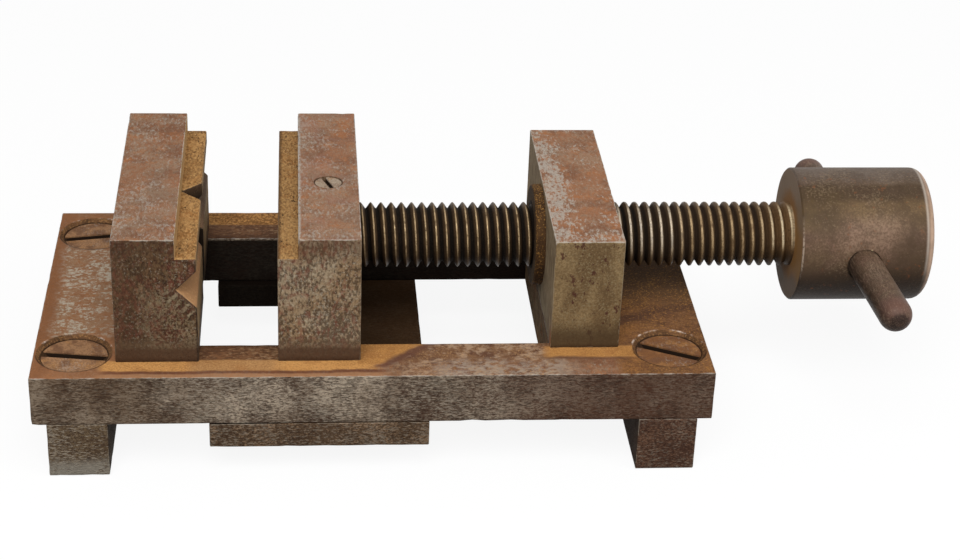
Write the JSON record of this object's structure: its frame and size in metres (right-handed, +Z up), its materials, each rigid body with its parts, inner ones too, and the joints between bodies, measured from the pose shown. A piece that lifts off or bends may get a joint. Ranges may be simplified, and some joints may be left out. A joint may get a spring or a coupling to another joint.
{
  "type": "drill press vise",
  "caption": "Low steel drill press vise: a screw spindle with a sliding tommy bar drives a guided jaw along a slotted base towards a fixed jaw with vee grooves.",
  "frame": {"origin": "on the table, under the middle of the base plate", "axes": "+X along the spindle towards the handle, +Y to the rear, +Z up"},
  "size_m": [0.1726, 0.0682, 0.0465],
  "materials": {
    "plate_steel": "milled steel, rusted brown with bare grey streaks",
    "foot_steel": "milled steel, stained and lightly rusted",
    "jaw_steel": "ground steel, mottled red-brown rust with bright worn edges",
    "block_steel": "milled steel, olive-brown patina with spots of rust",
    "thread_steel": "oiled dark bronze-brown steel with bright crests",
    "handle_steel": "turned steel with a smooth brown patina",
    "screw_steel": "steel, rusted brown with dark slots"
  },
  "bodies": {
    "base": {"base_plate": "plate_steel", "left_foot_bar": "foot_steel", "right_foot_bar": "foot_steel", "foot_screw_1": "screw_steel", "foot_screw_2": "screw_steel", "foot_screw_3": "screw_steel", "foot_screw_4": "screw_steel", "fixed_jaw": "jaw_steel", "fixed_jaw_screw_1": "screw_steel", "fixed_jaw_screw_2": "screw_steel", "nut_block": "block_steel", "nut_block_screw_1": "screw_steel", "nut_block_screw_2": "screw_steel", "flanged_nut": "thread_steel"},
    "jaw": {"moving_jaw": "jaw_steel", "guide_block": "plate_steel", "keeper_plate": "plate_steel", "keeper_screw_1": "screw_steel", "keeper_screw_2": "screw_steel", "retaining_screw": "screw_steel"},
    "screw": {"spindle": "thread_steel", "spindle_head": "handle_steel"},
    "bar": {"tommy_bar": "handle_steel"}
  },
  "joints": [
    {"name": "jaw_slide", "type": "slide", "parent": "base", "child": "jaw", "axis": [1, 0, 0], "range_m": [-0.0145, 0.0335]},
    {"name": "spindle_turn", "type": "hinge", "parent": "jaw", "child": "screw", "pos_m": [0.0402, 0, 0.0331], "axis": [1, 0, 0], "range_deg": [-2620, 6040]},
    {"name": "bar_slide", "type": "slide", "parent": "screw", "child": "bar", "axis": [0.0802, -0.9962, -0.0348], "range_m": [-0.0175, 0.012]}
  ],
  "couplings": [
    {"joint": "spindle_turn", "follows": "jaw_slide", "rad_per_m": 3141.6}
  ]
}
